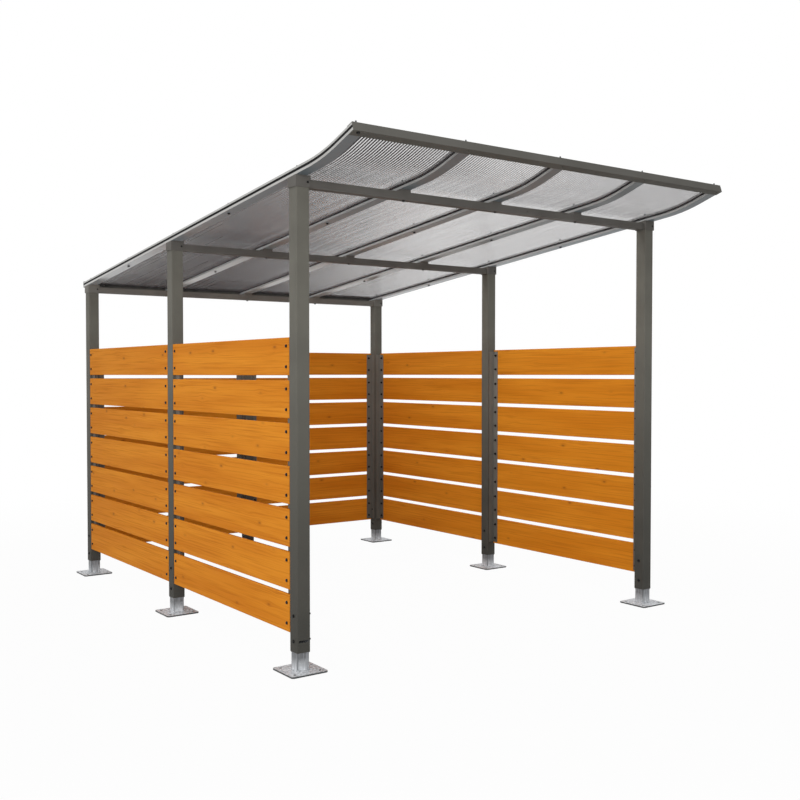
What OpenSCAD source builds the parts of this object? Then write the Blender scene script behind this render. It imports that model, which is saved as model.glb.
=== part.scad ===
// Open-fronted bike shelter: six full-height posts and one short post on bolted-down feet,
// three cross beams, five rafters bent up at the front, a clamped twin-wall roof and
// boarded walls on the left, the right and the rear.
// Millimetres, +Z up, +Y to the rear, the open entrance faces -Y.

/* [Frame] */
// Distance between the left and right post axes
span_x = 2455; // [1800:5:3200]
// Distance between neighbouring post axes, front to rear
bay_y = 1472; // [1000:1:1800]
// Height of the rafter underside at the front post axis
eave_z = 2367.5; // [2100:0.5:2700]
// Outside width of a square post
post_s = 72; // [60:1:90]
// Wall thickness of a post
post_t = 3.5; // [2:0.5:5]
// Outside corner radius of a post
post_r = 5; // [4:0.5:8]
// Height of the open lower end of a post above the ground
post_lift = 95; // [60:1:140]
// Width of the slot in the front face of the front left post
slot_w = 54; // [20:1:56]
// Height of that slot
slot_h = 12; // [5:0.5:14]
// Height of the middle of that slot above the ground
slot_z = 149; // [130:1:230]

/* [Feet] */
// Side of a square base plate
plate_s = 200; // [160:2:260]
// Thickness of a base plate
plate_t = 8; // [5:0.5:15]
// Corner radius of a base plate
plate_r = 15; // [5:1:30]
// Diameter of an anchor hole
hole_d = 14; // [9:0.5:20]
// Distance between neighbouring anchor holes
hole_pitch = 140; // [110:1:160]
// Wall thickness of the stub tube
stub_t = 4; // [2:0.5:6]
// Clearance on each side between the stub and the inside of the post
stub_fit = 0.5; // [0.2:0.1:1.5]
// Length of stub inside the post
stub_in = 230; // [200:5:300]
// Height of the stop ring that carries the post
stop_h = 4; // [2:0.5:8]
// Width of the stop ring beyond the stub
stop_w = 2; // [1:0.5:3]
// Height of the lower cross bolt above the ground
bolt_low = 147; // [125:1:170]
// Distance from the lower to the upper cross bolt
bolt_step = 123; // [90:1:140]
// Diameter of a cross bolt
bolt_d = 10; // [6:1:12]
// Clearance of a cross bolt in its hole, on the diameter
bolt_fit = 1; // [0.4:0.1:2]

/* [Heads and cross beams] */
// Height of a head over the post top
head_h = 52; // [45:1:70]
// Wall thickness of a head
head_t = 3; // [2:0.5:5]
// Clearance on each side between a post and the head around it
head_fit = 1; // [0.3:0.1:2]
// Depth of the flat post seat below the top of the head
head_seat = 8; // [7:0.5:12]
// Height of a cross beam
beam_h = 40; // [36:1:42]
// Depth of a cross beam, front to rear
beam_d = 50; // [30:1:60]
// Wall thickness of a cross beam
beam_t = 3; // [2:0.5:5]
// Drop from the rafter underside to the top of the beam
beam_drop = 11; // [8:0.5:12]
// Diameter of the vent hole in the front of a beam
vent_d = 10; // [6:1:16]
// Distance of the vent hole from the middle of the beam
vent_x = 223; // [100:1:400]

/* [Roof] */
// Slope of the roof
slope_a = 5.95; // [3:0.05:9]
// Slope of the bent-up front
tip_a = 18.5; // [11:0.5:25]
// Radius of the bend at the rafter underside
bend_r = 1150; // [700:10:2000]
// Distance of the bend in front of the front post axis
bend_y = 150; // [100:5:250]
// Straight length in front of the bend
tip_l = 145; // [120:1:260]
// Length of roof behind the rear post axis
tail_l = 67.5; // [66:0.5:120]
// Width of a rafter and of the capping strip over it
rafter_w = 64; // [56:1:80]
// Depth of a rafter
rafter_h = 12; // [10:0.5:20]
// Wall thickness of a rafter
rafter_t = 3; // [2:0.5:4]
// Distance of the roof edge beyond the outer face of the posts
side_over = 3; // [0:0.5:5]
// Thickness of a sealing strip
seal_h = 1.5; // [1:0.1:3]
// Width of a sealing strip
seal_w = 18; // [12:0.5:20]
// Thickness of a twin-wall sheet
sheet_h = 10; // [8:0.5:16]
// Thickness of the two skins of a sheet
skin_t = 1; // [0.8:0.1:2]
// Thickness of a rib inside a sheet
rib_t = 1; // [0.8:0.1:2]
// Number of cells across a sheet
cells = 36; // [20:1:40]
// Gap between two sheets over a rafter
sheet_gap = 12; // [8:0.5:16]
// Thickness of a capping strip
cap_h = 10; // [5:0.5:15]
// Diameter of the holes for the bolts that clamp cap, sheets and rafter
roof_hole_d = 9; // [6:0.5:10]
// Distance of the foremost of these bolts from the front end of the rafter
lip_bolt_in = 12; // [8:0.5:25]

/* [Edge profiles] */
// Thickness of the front and rear edge profiles
edge_t = 3; // [2:0.5:5]
// Length of the lips of the front profile
lip_front = 40; // [30:1:70]
// Length of the lips of the rear profile
lip_rear = 22; // [12:1:22]

/* [Walls] */
// Number of boards in a bay
boards = 7; // [3:1:7]
// Height of a board
board_h = 182.5; // [120:0.5:190]
// Gap between two boards
board_gap = 24.5; // [10:0.5:32]
// Thickness of a board
board_t = 18; // [12:0.5:24]
// Radius of the rounded long edges of a board
board_r = 3; // [1:0.5:5]
// Height of the lowest board above the ground
board_z = 181.5; // [160:0.5:220]
// Distance of the boards behind the outer face of the posts
board_inset = 2; // [0:0.5:6]
// Gap between the end of a board and the post
board_end = 6; // [3:0.5:10]
// Width of the angle flange along the boards
angle_w = 50; // [40:1:70]
// Width of the angle leg on the post
angle_leg = 38; // [25:1:40]
// Thickness of an angle
angle_t = 4; // [3:0.5:6]
// Distance from the end of an angle to the edge of the outermost board
angle_in = 11; // [5:1:25]
// Diameter of the holes for the board bolts
wall_hole_d = 9; // [5:0.5:12]
// Distance of the board bolts from the face of the post
wall_bolt_in = 32; // [18:1:38]
// Distance between the two bolts in the end of a board
wall_bolt_step = 100; // [60:1:130]

/* [Hidden] */
$fn = 48;
stub_s = post_s - 2 * post_t - 2 * stub_fit;
stub_top = post_lift + stub_in;
head_s = post_s + 2 * head_fit + 2 * head_t;
depth_y = 2 * bay_y;
front_y = -depth_y / 2;
wall_h = boards * board_h + (boards - 1) * board_gap;
wall_top = board_z + wall_h;
rise = tan(slope_a);
// levels above the rafter underside, square to the roof
n_sheet = rafter_h + seal_h;
n_seal2 = n_sheet + sheet_h;
n_cap = n_seal2 + seal_h;
n_top = n_cap + cap_h;
// roof line through the rafter underside, measured from the front post axis
b0 = [-bend_y, eave_z + bend_y * rise];
bend_c = b0 + bend_r * [sin(slope_a), cos(slope_a)];
b1 = bend_c - bend_r * [sin(tip_a), cos(tip_a)];
tail = [depth_y + tail_l * cos(slope_a), eave_z - depth_y * rise - tail_l * sin(slope_a)];
tip = b1 + tip_l * [-cos(tip_a), sin(tip_a)];
// the bend cuts into the straight runs by this much, so that they meet on a clean edge
bend_bite = 0.03;
// frontmost and rearmost points set the origin in the middle of the footprint
tip_y = b1[0] - (tip_l + edge_t) * cos(tip_a) - edge_t * sin(tip_a);
back_y = depth_y + plate_s / 2;
mid_y = (tip_y + back_y) / 2;
// rafter axes: the outer edges stand side_over beyond the post faces
edge_x = span_x / 2 + post_s / 2 + side_over;
rafter_x = edge_x - rafter_w / 2;
rafter_step = rafter_x / 2;

steel = [0.36, 0.35, 0.33];
zinc = [0.70, 0.72, 0.73];
timber = [0.78, 0.47, 0.16];
rubber = [0.06, 0.06, 0.06];
clear = [0.72, 0.71, 0.74, 0.6];
alu = [0.68, 0.69, 0.69];

// Rectangle and square with rounded corners, centred
module round_rect(w, h, r) {
    square([w - 2 * r, h], center = true);
    square([w, h - 2 * r], center = true);
    for (x = [-1, 1], y = [-1, 1]) translate([x * (w / 2 - r), y * (h / 2 - r)]) circle(r);
}
module round_square(s, r) { round_rect(s, s, r); }

// Everything is drawn from the front left post axis and then moved to the middle of the footprint
module at(x, y) { translate([x, y - mid_y, 0]) children(); }

// Hole through a post along X
module cross_hole(z, d) {
    translate([-post_s, 0, z]) rotate([0, 90, 0]) cylinder(d = d, h = 2 * post_s);
}

// Square tube post standing on its foot, with two cross bolt holes; a lid closes a post without a head
module post(x, y, top, lid = -1) {
    color(steel) at(x, y) difference() {
        translate([0, 0, post_lift]) linear_extrude(top - post_lift) round_square(post_s, post_r);
        translate([0, 0, post_lift - 1]) linear_extrude(top - lid - post_lift + 1)
            round_square(post_s - 2 * post_t, post_r - post_t);
        for (k = [0, 1]) cross_hole(bolt_low + k * bolt_step, bolt_d + bolt_fit);
    }
}
// Slot through the front wall of the front left post and of the stub inside it
module front_slot() {
    at(-span_x / 2, -post_s / 2) translate([-slot_w / 2, -1, slot_z - slot_h / 2])
        cube([slot_w, post_t + stub_fit + stub_t + 2, slot_h]);
}
function post_top(y) = eave_z - y * rise - head_seat;

// Base plate with four anchor holes, a stub tube and a stop ring under the post
module foot(x, y) {
    color(zinc) at(x, y) difference() {
        union() {
            linear_extrude(plate_t) difference() {
                round_square(plate_s, plate_r);
                for (a = [-1, 1], b = [-1, 1]) translate([a, b] * hole_pitch / 2) circle(d = hole_d);
            }
            translate([0, 0, plate_t]) linear_extrude(stub_top - plate_t) stub_section(stub_s);
            translate([0, 0, post_lift - stop_h]) linear_extrude(stop_h) stub_section(stub_s + 2 * stop_w);
        }
        for (k = [0, 1]) cross_hole(bolt_low + k * bolt_step, bolt_d + bolt_fit);
    }
}
module stub_section(s) {
    difference() {
        round_square(s, post_r);
        square(stub_s - 2 * stub_t, center = true);
    }
}

// Cross beam with a head over each post and three saddles under the inner rafters
module beam(y) {
    top = eave_z - y * rise;
    color(steel) at(0, y) difference() {
        union() {
            translate([-span_x / 2, -beam_d / 2, top - beam_drop - beam_h]) cube([span_x, beam_d, beam_h]);
            for (x = [-1, 1]) translate([x * span_x / 2 - head_s / 2, -head_s / 2, top - head_h])
                cube([head_s, head_s, head_h + head_s]);
            for (k = [-1, 0, 1])
                translate([k * rafter_step - rafter_w / 2, -beam_d / 2, top - beam_drop - 1])
                    cube([rafter_w, beam_d, beam_d]);
        }
        // pitch of the roof across the heads and saddles
        translate([0, 0, top]) rotate([-slope_a, 0, 0])
            translate([-span_x, -bay_y / 2, 0]) cube([2 * span_x, bay_y, bay_y]);
        for (x = [-1, 1]) translate([x * span_x / 2, 0, top - head_h])
            translate([-pocket() / 2, -pocket() / 2, -1])
                cube([pocket(), pocket(), head_h - head_seat + 1]);
        translate([-span_x / 2, beam_t - beam_d / 2, top - beam_drop - beam_h + beam_t])
            cube([span_x, beam_d - 2 * beam_t, beam_h - 2 * beam_t]);
        translate([vent_x, 0, top - beam_drop - beam_h / 2]) rotate([90, 0, 0])
            cylinder(d = vent_d, h = beam_d);
        for (k = [0 : 4]) translate([(k - 2) * rafter_step, 0, top]) bolt_hole(slope_a);
    }
}
function pocket() = post_s + 2 * head_fit;

// Directions along the roof line towards the front and square to it, at slope a
function along(a) = [-cos(a), sin(a)];
function square_to(a) = [sin(a), cos(a)];

// Side view of all that lies above level n of the roof line, longer at both ends by more
module above(n, more) {
    high = 4 * n_top;
    corner = bend_c - (bend_r - n) / cos((tip_a - slope_a) / 2) * square_to((tip_a + slope_a) / 2);
    rear = tail - more * along(slope_a);
    front = tip + more * along(tip_a);
    difference() {
        polygon([rear + n * square_to(slope_a), corner, front + n * square_to(tip_a),
            front + high * square_to(tip_a), rear + high * square_to(slope_a)]);
        difference() {
            polygon([bend_c, bend_c - 1.2 * bend_r * square_to(slope_a),
                bend_c - 1.2 * bend_r * square_to(tip_a)]);
            translate(bend_c) circle(bend_r - n + bend_bite, $fn = 720);
        }
    }
}

// Strip of the roof from x0 to x1 between the levels n0 and n1
module roof_strip(x0, x1, n0, n1, more = 0) {
    translate([x0, -mid_y, 0]) rotate([90, 0, 90]) linear_extrude(x1 - x0) difference() {
        above(n0, more);
        above(n1, more + edge_t);
    }
}

// Hole for a clamping bolt, square to a roof of slope a
module bolt_hole(a) {
    rotate([-a, 0, 0]) cylinder(d = roof_hole_d, h = 8 * n_top, center = true);
}
// The bolt hole through the front profile, and those over the beams and half way between them
module lip_hole(k) {
    lip = tip - lip_bolt_in * along(tip_a);
    at((k - 2) * rafter_step, lip[0]) translate([0, 0, lip[1]]) bolt_hole(tip_a);
}
module roof_holes(k) {
    lip_hole(k);
    for (i = [0 : 4]) at((k - 2) * rafter_step, i * bay_y / 2)
        translate([0, 0, eave_z - i * bay_y / 2 * rise]) bolt_hole(slope_a);
}

// Flat hollow rafter
module rafter(k) {
    x = (k - 2) * rafter_step;
    w = rafter_w / 2;
    color(steel) difference() {
        roof_strip(x - w, x + w, 0, rafter_h);
        roof_strip(x - w + rafter_t, x + w - rafter_t, rafter_t, rafter_h - rafter_t, edge_t);
        roof_holes(k);
    }
}

// Capping strip that clamps the sheets down
module cap(k) {
    x = (k - 2) * rafter_step;
    color(alu) difference() {
        roof_strip(x - rafter_w / 2, x + rafter_w / 2, n_cap, n_top);
        roof_holes(k);
    }
}

// Twin-wall sheet, cells running from front to rear
module sheet(k) {
    x0 = (k - 2) * rafter_step + sheet_gap / 2;
    x1 = (k - 1) * rafter_step - sheet_gap / 2;
    pitch = (x1 - x0 - rib_t) / cells;
    color(clear) difference() {
        roof_strip(x0, x1, n_sheet, n_seal2);
        for (i = [0 : cells - 1])
            roof_strip(x0 + rib_t + i * pitch, x0 + (i + 1) * pitch,
                n_sheet + skin_t, n_seal2 - skin_t, edge_t);
    }
}

// Sealing strips under and over the sheet edges, and a closing strip along each outer edge
module seals() {
    color(rubber) {
        for (k = [0 : 4], s = [-1, 1], n = [rafter_h, n_seal2]) {
            x = (k - 2) * rafter_step + s * (rafter_w / 2 - seal_w / 2);
            if (!(k == 0 && s < 0) && !(k == 4 && s > 0))
                roof_strip(x - seal_w / 2, x + seal_w / 2, n, n + seal_h);
        }
        for (s = [-1, 1]) {
            x = s * (edge_x - seal_w / 2);
            roof_strip(x - seal_w / 2, x + seal_w / 2, rafter_h, n_cap);
        }
    }
}

// Channel that closes the front edge of the roof, square to the bent-up tip
module edge_front() {
    color(steel) difference() {
        translate([0, tip[0] - mid_y, tip[1]]) rotate([90 - tip_a, 0, 0]) channel(lip_front, 1);
        for (k = [0 : 4]) lip_hole(k);
    }
}

// Channel that closes the rear edge of the roof
module edge_rear() {
    color(steel) translate([0, tail[0] - mid_y, tail[1]]) rotate([90 - slope_a, 0, 0])
        channel(lip_rear, -1);
}
module channel(lip, way) {
    mirror([0, 0, way > 0 ? 0 : 1]) translate([-edge_x, 0, 0]) difference() {
        translate([0, -edge_t, -lip]) cube([2 * edge_x, n_top + 2 * edge_t, lip + edge_t]);
        translate([-1, 0, -lip - 1]) cube([2 * edge_x + 2, n_top, lip + 1]);
    }
}

// One bay of boards between two posts, drawn along X with the outer face towards -Y
module bay(length) {
    y = board_inset + board_t / 2 - post_s / 2;
    color(timber) difference() {
        for (i = [0 : boards - 1]) translate([post_s / 2 + board_end, y, board_middle(i)])
            rotate([90, 0, 90]) linear_extrude(length - post_s - 2 * board_end)
                round_rect(board_t, board_h, board_r);
        wall_holes(length);
    }
}
function board_middle(i) = board_z + i * (board_h + board_gap) + board_h / 2;
// Holes for the two bolts in each end of its boards
module wall_holes(length) {
    for (i = [0 : boards - 1], s = [-1, 1], m = [0, 1]) translate([m * length, 0, 0]) mirror([m, 0, 0])
        translate([post_s / 2 + wall_bolt_in, 0, board_middle(i) + s * wall_bolt_step / 2])
            rotate([90, 0, 0]) cylinder(d = wall_hole_d, h = post_s);
}
// The two angles of that bay
module bay_angles(length) {
    y = board_inset + board_t - post_s / 2;
    h = wall_h - 2 * angle_in;
    color(steel) difference() {
        for (m = [0, 1]) translate([m * length, 0, board_z + angle_in]) mirror([m, 0, 0])
            translate([post_s / 2, y, 0]) {
                cube([angle_w, angle_t, h]);
                cube([angle_t, angle_leg, h]);
            }
        wall_holes(length);
    }
}
// Places of the six bays, numbered left front, left rear, right front, right rear, rear left, rear right
module in_bay(i) {
    h = span_x / 2;
    if (i < 2) at(-h, (i + 1) * bay_y) rotate([0, 0, -90]) children();
    else if (i < 4) at(h, (i - 2) * bay_y) rotate([0, 0, 90]) children();
    else at((i - 4) * h, depth_y) rotate([0, 0, 180]) children();
}

difference() {  // post_front_left
    post(-span_x / 2, 0, post_top(0));
    color(steel) front_slot();
}
post(-span_x / 2, bay_y, post_top(bay_y));  // post_mid_left
post(-span_x / 2, depth_y, post_top(depth_y));  // post_rear_left
post(0, depth_y, wall_top, post_t);  // post_rear_mid
post(span_x / 2, depth_y, post_top(depth_y));  // post_rear_right
post(span_x / 2, bay_y, post_top(bay_y));  // post_mid_right
post(span_x / 2, 0, post_top(0));  // post_front_right
difference() {  // foot_front_left
    foot(-span_x / 2, 0);
    color(zinc) front_slot();
}
foot(-span_x / 2, bay_y);  // foot_mid_left
foot(-span_x / 2, depth_y);  // foot_rear_left
foot(0, depth_y);  // foot_rear_mid
foot(span_x / 2, depth_y);  // foot_rear_right
foot(span_x / 2, bay_y);  // foot_mid_right
foot(span_x / 2, 0);  // foot_front_right
beam(0);  // beam_front
beam(bay_y);  // beam_mid
beam(depth_y);  // beam_rear
rafter(0);  // rafter_1
rafter(1);  // rafter_2
rafter(2);  // rafter_3
rafter(3);  // rafter_4
rafter(4);  // rafter_5
seals();
sheet(0);  // sheet_1
sheet(1);  // sheet_2
sheet(2);  // sheet_3
sheet(3);  // sheet_4
cap(0);  // cap_1
cap(1);  // cap_2
cap(2);  // cap_3
cap(3);  // cap_4
cap(4);  // cap_5
edge_front();
edge_rear();
in_bay(0) bay(bay_y);  // boards_left_front
in_bay(1) bay(bay_y);  // boards_left_rear
in_bay(2) bay(bay_y);  // boards_right_front
in_bay(3) bay(bay_y);  // boards_right_rear
in_bay(4) bay(span_x / 2);  // boards_rear_left
in_bay(5) bay(span_x / 2);  // boards_rear_right
for (i = [0, 1]) in_bay(i) bay_angles(bay_y);  // angles_left
for (i = [2, 3]) in_bay(i) bay_angles(bay_y);  // angles_right
for (i = [4, 5]) in_bay(i) bay_angles(span_x / 2);  // angles_rear
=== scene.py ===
# %% [markdown]
# # Dressing a bike shelter
# The construction (posts, beams, rafters, sheets, boards and feet) comes from a CAD model.
# Blender loads it as a fixed frame, in metres, and never moves it. Here each part gets the
# finish that it has on the real shelter, and the small fasteners are added on top.

import math

import bpy
from mathutils import Euler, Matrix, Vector


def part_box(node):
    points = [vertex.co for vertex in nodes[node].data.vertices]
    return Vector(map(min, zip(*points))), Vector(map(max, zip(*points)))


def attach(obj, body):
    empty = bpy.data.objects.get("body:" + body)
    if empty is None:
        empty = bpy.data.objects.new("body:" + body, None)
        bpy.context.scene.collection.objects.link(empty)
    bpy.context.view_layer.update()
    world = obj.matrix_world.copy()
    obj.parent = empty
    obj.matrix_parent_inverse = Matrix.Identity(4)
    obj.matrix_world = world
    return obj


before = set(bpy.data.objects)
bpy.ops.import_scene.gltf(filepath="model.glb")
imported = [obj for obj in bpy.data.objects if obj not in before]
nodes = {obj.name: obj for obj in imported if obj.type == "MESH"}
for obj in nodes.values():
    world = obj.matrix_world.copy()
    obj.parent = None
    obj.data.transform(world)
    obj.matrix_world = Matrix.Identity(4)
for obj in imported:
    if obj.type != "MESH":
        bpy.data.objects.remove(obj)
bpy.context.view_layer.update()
scene = bpy.context.scene
print("construction nodes:", len(nodes))

# %% [markdown]
# ## Camera
# The camera stands at eye height, left of the open front, and looks slightly down. Its place could
# be set by eye, but matching the corners of posts, boards and base plates gives it far closer. The
# focal length found that way is in pixels, and the sensor width turns it into millimetres.

# %% Camera
FOCAL_PX = 1006.756
IMAGE_PX = 800
SENSOR_MM = 36.0
CAMERA_AT_M = (-3.64847, -5.44711, 1.42885)
CAMERA_TILT_DEG = 88.5318
CAMERA_TURN_DEG = -35.6987

camera_data = bpy.data.cameras.new("front_left_view")
camera_data.sensor_fit = "HORIZONTAL"
camera_data.sensor_width = SENSOR_MM
camera_data.lens = FOCAL_PX / IMAGE_PX * SENSOR_MM
camera = bpy.data.objects.new("front_left_view", camera_data)
camera.location = CAMERA_AT_M
camera.rotation_euler = Euler((math.radians(CAMERA_TILT_DEG), 0.0, math.radians(CAMERA_TURN_DEG)))
scene.collection.objects.link(camera)
scene.camera = camera
print("lens in mm:", round(camera_data.lens, 2))

# %% [markdown]
# ## Three helpers
# Hex colours are written as they look on a screen, but Blender's sockets take linear light, so one
# function converts them. Another function adds a node to any tree: a socket handed to an input is
# linked, and a plain value is set. The third starts a material.

# %% Colour and node helpers
def linear(hex_colour):
    """Linear RGBA of an sRGB colour such as #64625C."""
    levels = [int(hex_colour[i:i + 2], 16) / 255 for i in (1, 3, 5)]
    return (*(v / 12.92 if v <= 0.04045 else ((v + 0.055) / 1.055) ** 2.4 for v in levels), 1.0)


def add(tree, kind, inputs=None, **settings):
    """Adds one node with its settings; each input is a socket to link or a value to set."""
    made = tree.nodes.new(kind)
    for name, value in settings.items():
        setattr(made, name, value)
    for key, value in (inputs or {}).items():
        if isinstance(value, bpy.types.NodeSocket):
            tree.links.new(value, made.inputs[key])
        else:
            made.inputs[key].default_value = value
    return made


def blank_material(name):
    """A material with an empty tree, its output node and the piece's own coordinates."""
    material = bpy.data.materials.new(name)
    material.use_nodes = True
    tree = material.node_tree
    tree.nodes.clear()
    output = add(tree, "ShaderNodeOutputMaterial")
    place = add(tree, "ShaderNodeTexCoord").outputs["Object"]
    return material, tree, output, place


print("white as linear light:", linear("#FFFFFF"))

# %% [markdown]
# ## Powder-coated steel
# Posts, beams, angles and edge channels are steel under a warm grey baked powder. The angles and
# edge channels each have a shade of their own. The beams have a darker copy of the coat, painted
# shade, and the rear beam a paler one, painted light. Powder melts into a skin with a faint orange
# peel, a little uneven in tone. Every coat is painted darker low down and lighter higher up,
# painted shade towards the ground. A painted picture could show that, but two noises and the height
# above the ground do it in real metres on any piece. A real peel is about 2 mm across, too fine for
# this picture, so it is drawn at 7 mm.

# %% Powder-coated steel
PEEL_M = 0.007
MOTTLE_M = 0.22
SHADE_DARKEST_AT_M = 0.05
SHADE_GONE_FROM_M = 1.9


def powder_coated(name, low, high, mottled):
    """Baked powder: its tone near the ground, its tone higher up and its mottling."""
    material, tree, output, place = blank_material(name)
    height = add(tree, "ShaderNodeSeparateXYZ", {"Vector": place}).outputs["Z"]
    mottle = add(tree, "ShaderNodeTexNoise",
                 {"Vector": place, "Scale": 1 / MOTTLE_M, "Detail": 3.0})
    peel = add(tree, "ShaderNodeTexNoise", {"Vector": place, "Scale": 1 / PEEL_M, "Detail": 1.0})
    # Painted shade: every coat is drawn darker towards the ground and lighter higher up.
    painted_height_light = add(tree, "ShaderNodeMapRange",
                {"Value": height, "From Min": SHADE_DARKEST_AT_M, "From Max": SHADE_GONE_FROM_M,
                 "To Min": 0.0, "To Max": 1.0}, interpolation_type="SMOOTHSTEP")
    tone = add(tree, "ShaderNodeMix",
               {0: painted_height_light.outputs[0], 6: linear(low), 7: linear(high)}, data_type="RGBA")
    patch = add(tree, "ShaderNodeMapRange",
                {"Value": mottle.outputs["Fac"], "From Min": 0.35, "From Max": 0.7,
                 "To Min": 0.0, "To Max": 0.45})
    coat_colour = add(tree, "ShaderNodeMix",
                      {0: patch.outputs[0], 6: tone.outputs[2], 7: linear(mottled)},
                      data_type="RGBA")
    coat_rough = add(tree, "ShaderNodeMapRange",
                     {"Value": mottle.outputs["Fac"], "From Min": 0.3, "From Max": 0.7,
                      "To Min": 0.52, "To Max": 0.64})
    coat_peel = add(tree, "ShaderNodeBump",
                    {"Strength": 0.10, "Distance": 0.0006, "Height": peel.outputs["Fac"]})
    skin = add(tree, "ShaderNodeBsdfPrincipled",
               {"Base Color": coat_colour.outputs[2], "Roughness": coat_rough.outputs[0],
                "Specular IOR Level": 0.07, "Normal": coat_peel.outputs[0]})
    tree.links.new(skin.outputs[0], output.inputs[0])
    print(name, "nodes:", len(tree.nodes))
    return material


# A satin skin with hardly a highlight: an even grey, with painted shade that darkens it towards the
# ground.
powder_coat = powder_coated("powder_coated_steel", "#454440", "#706E66", "#5B5953")
# Painted shade: a darker copy of the coat for the beams, against the light they get through the
# roof.
beam_painted_shade_coat = powder_coated("powder_coated_beam_painted_shade", "#454440", "#676460", "#53514D")
# Painted light: a paler copy of the coat for the rear beam.
rear_beam_painted_light_coat = powder_coated("powder_coated_rear_beam_painted_light", "#565550", "#807D77", "#676460")
angle_coat = powder_coated("powder_coated_angle", "#5E5C56", "#86827A", "#706D66")
edge_coat = powder_coated("powder_coated_edge_channel", "#4D4C48", "#63615C", "#56544F")

# %% [markdown]
# ## Hot-dip galvanised steel
# The feet were dipped in molten zinc, which freezes into flat crystals called spangle, some bright
# and some dull. One even grey would look like paint, so a Voronoi texture gives each crystal its
# own tone and roughness. Real spangle is about 10 mm across, which shows on the base plates. Zinc
# that ran down while it was wet left upright streaks. The stub is painted bright low down and dull
# higher up, painted light and shade, as the post above shades its top. Its rounded corners are
# painted dark, painted shade, and so are the upright faces of the plate: its cut edges and the
# walls of its holes.

# %% Galvanised steel: crystals and runs
SPANGLE_M = 0.011
RUN_WIDE_M = 0.012
RUN_LONG_M = 0.14
RAGGED_M = 0.02
RAGGED_BY_M = 0.006
PLATE_TOP_M = 0.008
POST_FOOT_M = 0.095

# Patchy light and dark greys with a soft shine, streaked from top to bottom.
galvanised, tree, output, place = blank_material("hot_dip_galvanised_steel")
warp = add(tree, "ShaderNodeTexNoise", {"Vector": place, "Scale": 1 / RAGGED_M, "Detail": 2.0})
ragged = add(tree, "ShaderNodeVectorMath",
             {0: warp.outputs["Color"], "Scale": RAGGED_BY_M}, operation="SCALE")
ragged_place = add(tree, "ShaderNodeVectorMath",
                   {0: place, 1: ragged.outputs[0]}, operation="ADD").outputs[0]
crystal = add(tree, "ShaderNodeTexVoronoi", {"Vector": ragged_place, "Scale": 1 / SPANGLE_M})
level = add(tree, "ShaderNodeSeparateColor", {"Color": crystal.outputs["Color"]}).outputs[0]
run_place = add(tree, "ShaderNodeVectorMath",
                {0: place, 1: (1 / RUN_WIDE_M, 1 / RUN_WIDE_M, 1 / RUN_LONG_M)},
                operation="MULTIPLY")
runs = add(tree, "ShaderNodeTexNoise",
           {"Vector": run_place.outputs[0], "Scale": 1.0, "Detail": 3.0})
height = add(tree, "ShaderNodeSeparateXYZ", {"Vector": place}).outputs["Z"]
# Painted light and shade: the stub is drawn bright low down and dull higher up, where the post
# shades it.
painted_stub_shade = add(tree, "ShaderNodeMapRange",
           {"Value": height, "From Min": PLATE_TOP_M, "From Max": 0.75 * POST_FOOT_M,
            "To Min": 0.0, "To Max": 1.0})
lit_zinc = add(tree, "ShaderNodeMix",
                  {0: level, 6: linear("#D0D3D6"), 7: linear("#EEF0F3")}, data_type="RGBA")
shaded_zinc = add(tree, "ShaderNodeMix",
                {0: level, 6: linear("#67686A"), 7: linear("#797B7D")}, data_type="RGBA")
zinc = add(tree, "ShaderNodeMix",
           {0: painted_stub_shade.outputs[0], 6: lit_zinc.outputs[2], 7: shaded_zinc.outputs[2]},
           data_type="RGBA")
stain = add(tree, "ShaderNodeMapRange",
            {"Value": runs.outputs["Fac"], "From Min": 0.42, "From Max": 0.66,
             "To Min": 0.0, "To Max": 0.85})
stained_zinc = add(tree, "ShaderNodeMix",
                   {0: stain.outputs[0], 6: zinc.outputs[2], 7: linear("#95979A")},
                   data_type="RGBA")
print("spangle in mm:", SPANGLE_M * 1000, "runs in mm:", RUN_LONG_M * 1000)

# %% Galvanised steel: corners, cut edges and shine
facing = add(tree, "ShaderNodeSeparateXYZ",
             {"Vector": add(tree, "ShaderNodeTexCoord").outputs["Normal"]}).outputs
turned = add(tree, "ShaderNodeMath", {0: facing["X"], 1: facing["Y"]}, operation="MULTIPLY")
cornered = add(tree, "ShaderNodeMath", {0: turned.outputs[0]}, operation="ABSOLUTE")
# Painted shade: the stub's rounded corners are drawn dark.
painted_corner_shade = add(tree, "ShaderNodeMapRange",
             {"Value": cornered.outputs[0], "From Min": 0.15, "From Max": 0.4,
              "To Min": 0.0, "To Max": 0.8})
corner_dark_zinc = add(tree, "ShaderNodeMix",
                {0: painted_corner_shade.outputs[0], 6: stained_zinc.outputs[2], 7: linear("#55585A")},
                data_type="RGBA")
upward = add(tree, "ShaderNodeMath", {0: facing["Z"]}, operation="ABSOLUTE")
upright = add(tree, "ShaderNodeMath", {0: upward.outputs[0], 1: 0.5}, operation="LESS_THAN")
in_plate = add(tree, "ShaderNodeMath", {0: height, 1: PLATE_TOP_M}, operation="LESS_THAN")
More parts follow.
